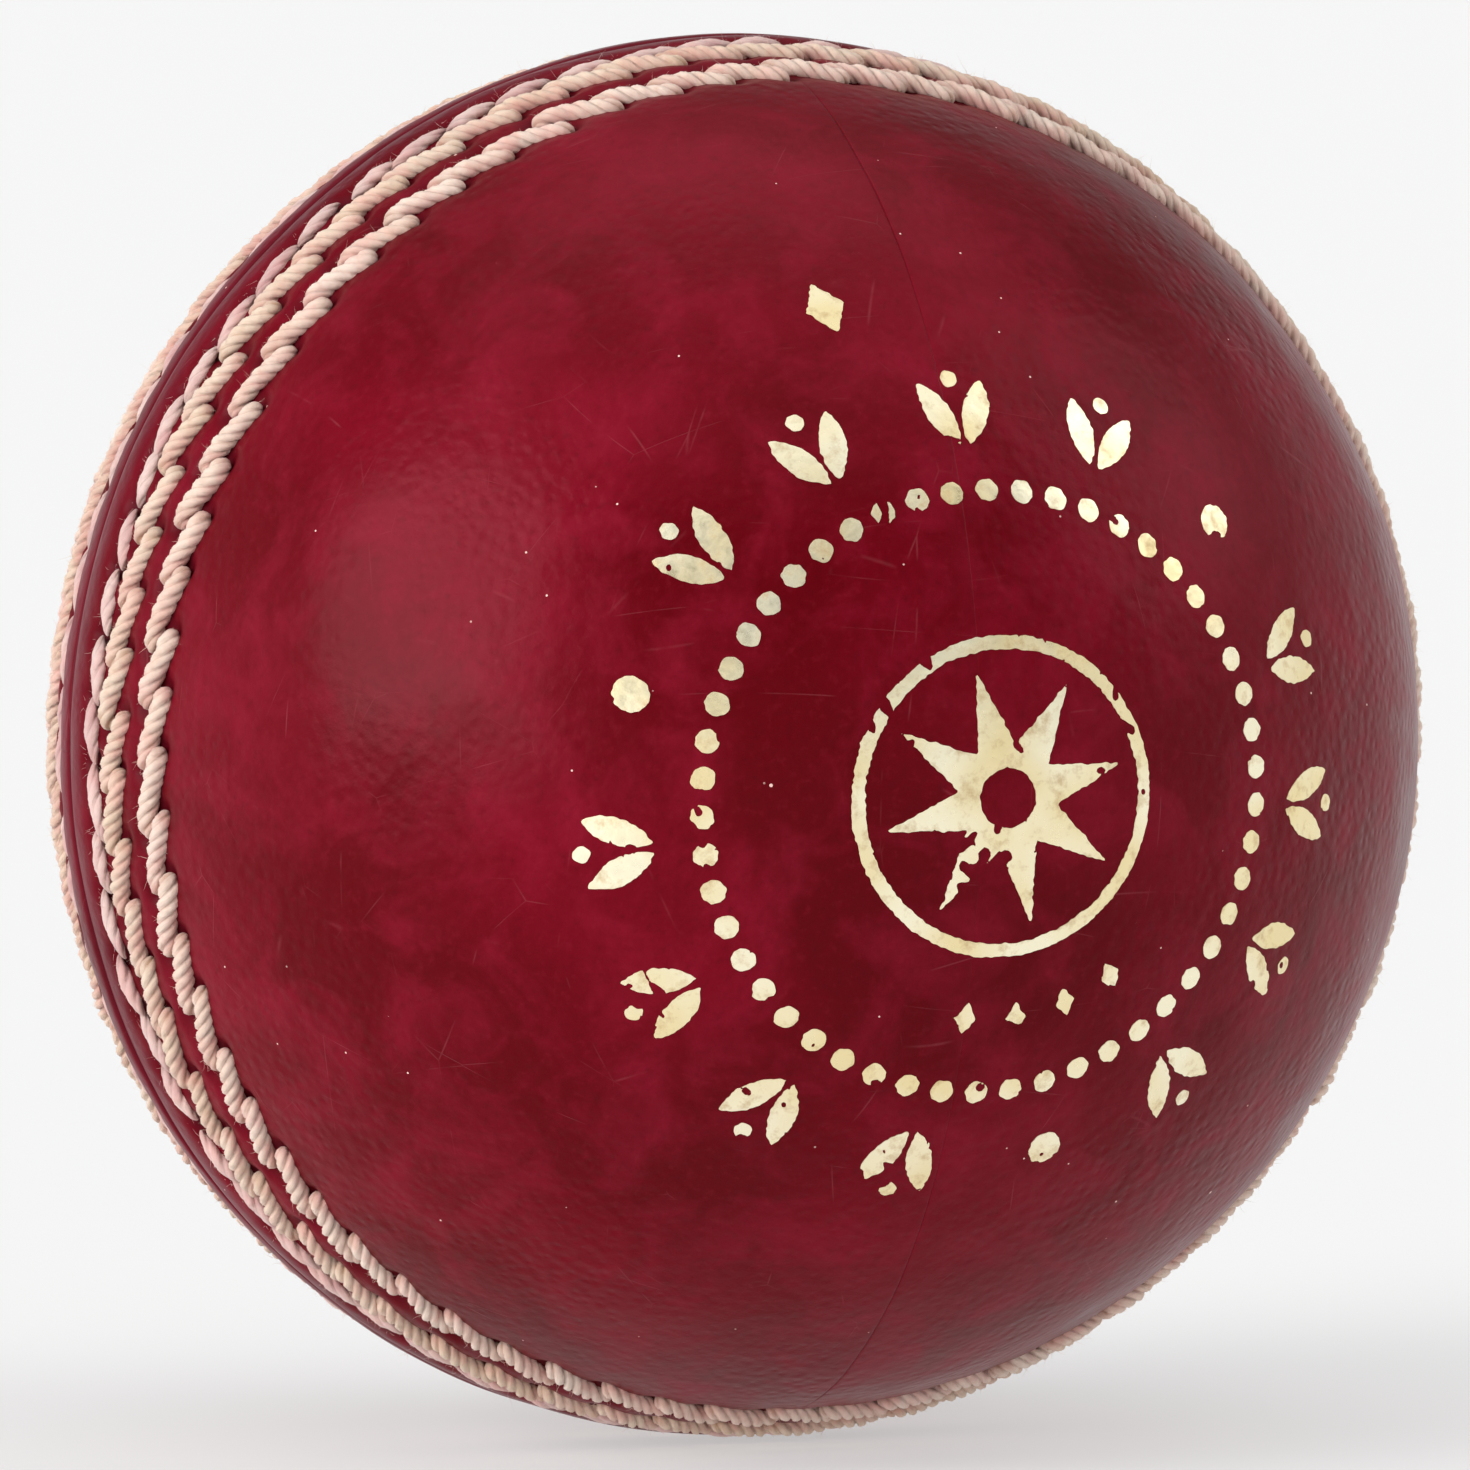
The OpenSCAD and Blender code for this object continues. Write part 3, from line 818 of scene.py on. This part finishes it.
def stamp_mesh():
    """Foil plates: the marks cut out of a fine grid with worn edges, laid on the ball."""
    ticks = np.arange(-REACH, REACH + CELL / 2, CELL)
    x, y = np.meshgrid(ticks, ticks, indexing="ij")
    d = stamp_distance(x, y)
    near = d < 0.4
    p = np.stack([x, y, np.zeros_like(x)], -1)[near]
    frayed = 0.022 * Ripple(21, 0.4)(p) + 0.018 * Ripple(22, 1.3)(p)
    flakes = smooth(Ripple(23, 1.0)(p) + 0.9 * Ripple(24, 6.0)(p), 2.1, 2.7) * 0.7
    cracks = np.exp(-((Ripple(25, 2.6)(p) / 0.035) ** 2)) * (Ripple(26, 3.5)(p) > 0.5) * 0.12
    d[near] += frayed + flakes + cracks

    # Whole cells inside the marks, and the inside part of each cell that an edge crosses
    inside = d < 0
    i, j = np.nonzero(near[:-1, :-1] | near[1:, :-1] | near[:-1, 1:] | near[1:, 1:])
    corners = np.stack([i, i + 1, i + 1, i], -1), np.stack([j, j, j + 1, j + 1], -1)
    full = inside[corners].sum(-1)
    index, points, faces, rim = {}, [], [], []

    def grid_point(a, b):
        key = (a, b)
        if key not in index:
            index[key] = len(points)
            points.append((ticks[a], ticks[b]))
        return index[key]

    def edge_point(a, b, c, e):
        key = (a, b, c, e) if (a, b) < (c, e) else (c, e, a, b)
        if key not in index:
            t = min(max(d[a, b] / (d[a, b] - d[c, e]), 0.04), 0.96)
            index[key] = len(points)
            across, up = ticks[a] + t * (ticks[c] - ticks[a]), ticks[b] + t * (ticks[e] - ticks[b])
            points.append((across, up))
        return index[key]

    for cell in np.nonzero(full)[0]:
        ring = [(int(a), int(b)) for a, b in zip(corners[0][cell], corners[1][cell])]
        if full[cell] == 4:
            faces.append([grid_point(*p) for p in ring])
            continue
        if full[cell] == 2 and inside[ring[0]] == inside[ring[2]]:
            continue  # two corners that only touch across the cell
        poly, cut = [], []
        for p, q in zip(ring, ring[1:] + ring[:1]):
            if inside[p]:
                poly.append(grid_point(*p))
            if inside[p] != inside[q]:
                poly.append(edge_point(*p, *q))
                cut.append((inside[p], poly[-1]))
        faces.append(poly)
        leave = next(v for was_in, v in cut if was_in)
        enter = next(v for was_in, v in cut if not was_in)
        rim.append((leave, enter))

    # Laid on the ball round the pole, then tilted to the stamp's centre
    x, y = np.array(points).T
    tilt, angle = np.hypot(x, y) / COVER_R, np.arctan2(x, y) - STAMP_TURN
    level = np.sin(tilt)
    local = np.stack([level * np.sin(angle), level * np.cos(angle), np.cos(tilt)], -1)
    ax, ay = STAMP_CENTRE
    rx = np.array([[1, 0, 0], [0, math.cos(ax), -math.sin(ax)], [0, math.sin(ax), math.cos(ax)]])
    ry = np.array([[math.cos(ay), 0, math.sin(ay)], [0, 1, 0], [-math.sin(ay), 0, math.cos(ay)]])
    local = local @ (ry @ rx).T
    way = np.stack([local[:, 0], -local[:, 2], local[:, 1]], -1)
    arc = np.arcsin(-way[:, 1]) * COVER_R
    lon = np.arctan2(way[:, 2], way[:, 0])
    height, _, _ = leather_height(arc, lon, [], [])
    seat = ridge_r(arc) + height
    top = way * (seat + FOIL_TOP)[:, None]
    low = way * (seat + FOIL_FOOT)[:, None]
    n = len(top)
    by_size = {}
    for f in faces:
        by_size.setdefault(len(f), []).append(f)
        by_size.setdefault(len(f), []).append([v + n for v in reversed(f)])
    walls = [[a, a + n, b + n, b] for a, b in rim]
    by_size.setdefault(4, []).extend(walls)
    return np.concatenate([top, low]), [np.array(g) for g in by_size.values()]


# ---------------------------------------------------------------- the ball


# A stitch's ends: shares of its length over which it dives at its head and tail, how deep
# it dives, how far its second half sags and thins, and the shape of its ends
SIDE_ENDS = {"head": 0.06, "tail": 0.07, "dive": 0.36, "sag": 0.14, "thin": 0.06, "dome": 0.12}
CLOSING_ENDS = {"head": 0.05, "tail": 0.05, "dive": 0.12, "sag": 0.0, "dome": 0, "taper": 0.65}
SIDE_THREAD = {
    "steps": 44,
    "per_ply": 6,
    "twist_pitch": 3.0,
    "depth": 0.40,
    "widen": 1.03,
    "flatten": 0.98,
    "ends": SIDE_ENDS,
    "hairs": 40,
}
CLOSING_THREAD = {
    "steps": 36,
    "per_ply": 7,
    "twist_pitch": 3.6,
    "depth": 0.30,
    "widen": 1.1,
    "flatten": 0.78,
    "ends": CLOSING_ENDS,
    "hairs": 22,
}


def build_half(side, seed, material):
    """One cup of leather with its three rows of stitches."""
    if side == "front":
        turn, pull = np.ones(3), 0.0
        quarters = {"left": math.pi / 2, "right": -math.pi / 2}
    else:
        # This half's stitches are pulled in a little deeper
        turn, pull = TURN_OVER, -0.2
        quarters = {"upper": math.pi, "lower": 0.0}
    rows = {
        "outer": Row(seed + 3, OUTER_ARC, 4.3, 0.76, 0.565, 1, 1.0, pull - 0.13, 4, 0.0),
        "inner": Row(seed + 2, INNER_ARC, 4.25, 0.70, 0.565, 1, 1.0, pull - 0.17, 4, 0.4),
        "closing": Row(seed + 1, CLOSING_ARC, 3.5, 0.2, 0.53, -1, 1.5, pull - 0.25, 3, 0.15),
    }
    from_joint = [rows["closing"], rows["inner"], rows["outer"]]
    seams = list(quarters.values())
    for where, start in quarters.items():
        points, groups, attributes = leather_quarter(start, from_joint, seams)
        name = f"leather_{side}_{where}"
        obj = make_object(name, points * turn, groups, attributes, smooth_groups=4)
        settle(obj, material["leather"], "cover", f"cover_quarter_{side}_{where}")
    for key, thread, slot, node in (
        ("outer", SIDE_THREAD, "side_thread", f"side_stitches_outer_{side}"),
        ("inner", SIDE_THREAD, "side_thread", f"side_stitches_inner_{side}"),
        ("closing", CLOSING_THREAD, "closing_thread", f"closing_stitches_{side}"),
    ):
        points, groups, attributes, uv = thread_mesh(rows[key], **thread)
        obj = make_object(f"thread_{key}_{side}", points * turn, groups, attributes, uv)
        settle(obj, material[key], slot, node)


def build_ball():
    cream = {"light": (0.90, 0.74, 0.63), "shade": (0.86, 0.66, 0.54), "stain": (0.60, 0.29, 0.17)}
    waxed = {"light": (0.86, 0.71, 0.57), "shade": (0.80, 0.61, 0.45), "stain": (0.55, 0.27, 0.12)}
    pink = {"light": (0.84, 0.65, 0.59), "shade": (0.72, 0.51, 0.47), "stain": (0.45, 0.25, 0.2)}
    side_dye, closing_dye = (0.55, 0.14, 0.14), (0.5, 0.14, 0.16)
    material = {
        "leather": leather_material(),
        "outer": thread_material("side_thread_cream", **cream, dye=side_dye, dye_share=0.6),
        "inner": thread_material("side_thread_waxed", **waxed, dye=side_dye, dye_share=0.6),
        "closing": thread_material("closing_thread_pink", **pink, dye=closing_dye, dye_share=0.55),
    }
    build_half("front", 100, material)
    build_half("back", 200, material)
    points, groups = stamp_mesh()
    stamp = make_object("foil_marks", points, groups, smooth_groups=0)
    settle(stamp, foil_material(), "foil", "foil_stamp")

    # The hidden nodes keep their CAD shapes
    kinds = {
        "cork": cork_material(),
        "wool": wool_material(),
        "lining": lining_material(),
        "quarter": linen_material(),
    }
    for name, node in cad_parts.items():
        kind = kinds.get(name.split("_")[0])
        if kind:
            node.data.materials.clear()
            node.data.materials.append(kind)


# ---------------------------------------------------------------- studio


FLOOR_HALF = 30.0  # metres
FLOOR_GAP = 0.00005


def direction(azimuth, elevation):
    """Unit vector from the ball at these angles, in degrees. Azimuth 0 is in front, at -Y."""
    az, el = math.radians(azimuth), math.radians(elevation)
    return Vector((math.sin(az) * math.cos(el), -math.cos(az) * math.cos(el), math.sin(el)))


def soft_sun(name, azimuth, elevation, strength, spread):
    """A far, round softbox, `spread` degrees across, seen from the ball at these angles."""
    light = bpy.data.lights.new(name, "SUN")
    light.energy, light.angle = strength, math.radians(spread)
    lamp = bpy.data.objects.new(name, light)
    lamp.rotation_euler = direction(azimuth, elevation).to_track_quat("Z", "Y").to_euler()
    bpy.context.scene.collection.objects.link(lamp)


def floor():
    ground = bpy.data.materials.new("studio_floor")
    ground.use_nodes = True
    shader = ground.node_tree.nodes["Principled BSDF"]
    shader.inputs["Base Color"].default_value = (0.45, 0.45, 0.45, 1)
    shader.inputs["Emission Color"].default_value = (1.0, 1.0, 1.0, 1)
    shader.inputs["Emission Strength"].default_value = 0.465
    shader.inputs["Roughness"].default_value = 0.9
    shader.inputs["Specular IOR Level"].default_value = 0.1
    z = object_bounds()[0][2] - FLOOR_GAP
    corners = [(x * FLOOR_HALF, y * FLOOR_HALF, z) for x, y in ((-1, -1), (1, -1), (1, 1), (-1, 1))]
    mesh = bpy.data.meshes.new("studio_floor")
    mesh.from_pydata(corners, [], [(0, 1, 2, 3)])
    mesh.materials.append(ground)
    slab = bpy.data.objects.new("studio_floor", mesh)
    bpy.context.scene.collection.objects.link(slab)
    slab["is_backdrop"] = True


def studio():
    floor()
    world = bpy.data.worlds.new("studio")
    bpy.context.scene.world = world
    world.use_nodes = True
    tree = world.node_tree
    tree.nodes["Background"].inputs[0].default_value = (1.0, 1.0, 1.0, 1)
    # Pale at the horizon, where it meets the floor, and dimmer overhead
    place = tree.nodes.new("ShaderNodeTexCoord")
    height = tree.nodes.new("ShaderNodeSeparateXYZ")
    fade = tree.nodes.new("ShaderNodeMapRange")
    for key, value in (("From Min", 0.02), ("From Max", 0.5), ("To Min", 0.9), ("To Max", 0.25)):
        fade.inputs[key].default_value = value
    tree.links.new(place.outputs["Generated"], height.inputs[0])
    tree.links.new(height.outputs["Z"], fade.inputs["Value"])
    tree.links.new(fade.outputs[0], tree.nodes["Background"].inputs[1])

    soft_sun("overhead", -20, 80, 1.0, 80)
    soft_sun("left_window_top", -78, 24, 2.0, 40)
    soft_sun("left_window_foot", -70, -6, 1.6, 40)
    soft_sun("right_rim", 70, 35, 0.6, 40)


CAMERA_AZIMUTH, CAMERA_ELEVATION = -20.3, 4.0
CAMERA_AWAY = 0.86  # metres


def camera():
    """A long lens, from a little above and to the left of the stamped face."""
    lens = bpy.data.cameras.new("camera")
    lens.sensor_width, lens.lens = 36.0, 404.5
    lens.clip_start, lens.clip_end = 0.05, 100
    cam = bpy.data.objects.new("camera", lens)
    way = direction(CAMERA_AZIMUTH, CAMERA_ELEVATION)
    cam.location = way * CAMERA_AWAY
    cam.rotation_euler = way.to_track_quat("Z", "Y").to_euler()
    bpy.context.scene.collection.objects.link(cam)
    bpy.context.scene.camera = cam


build_ball()
studio()
camera()
bpy.context.scene.view_settings.view_transform = "Standard"
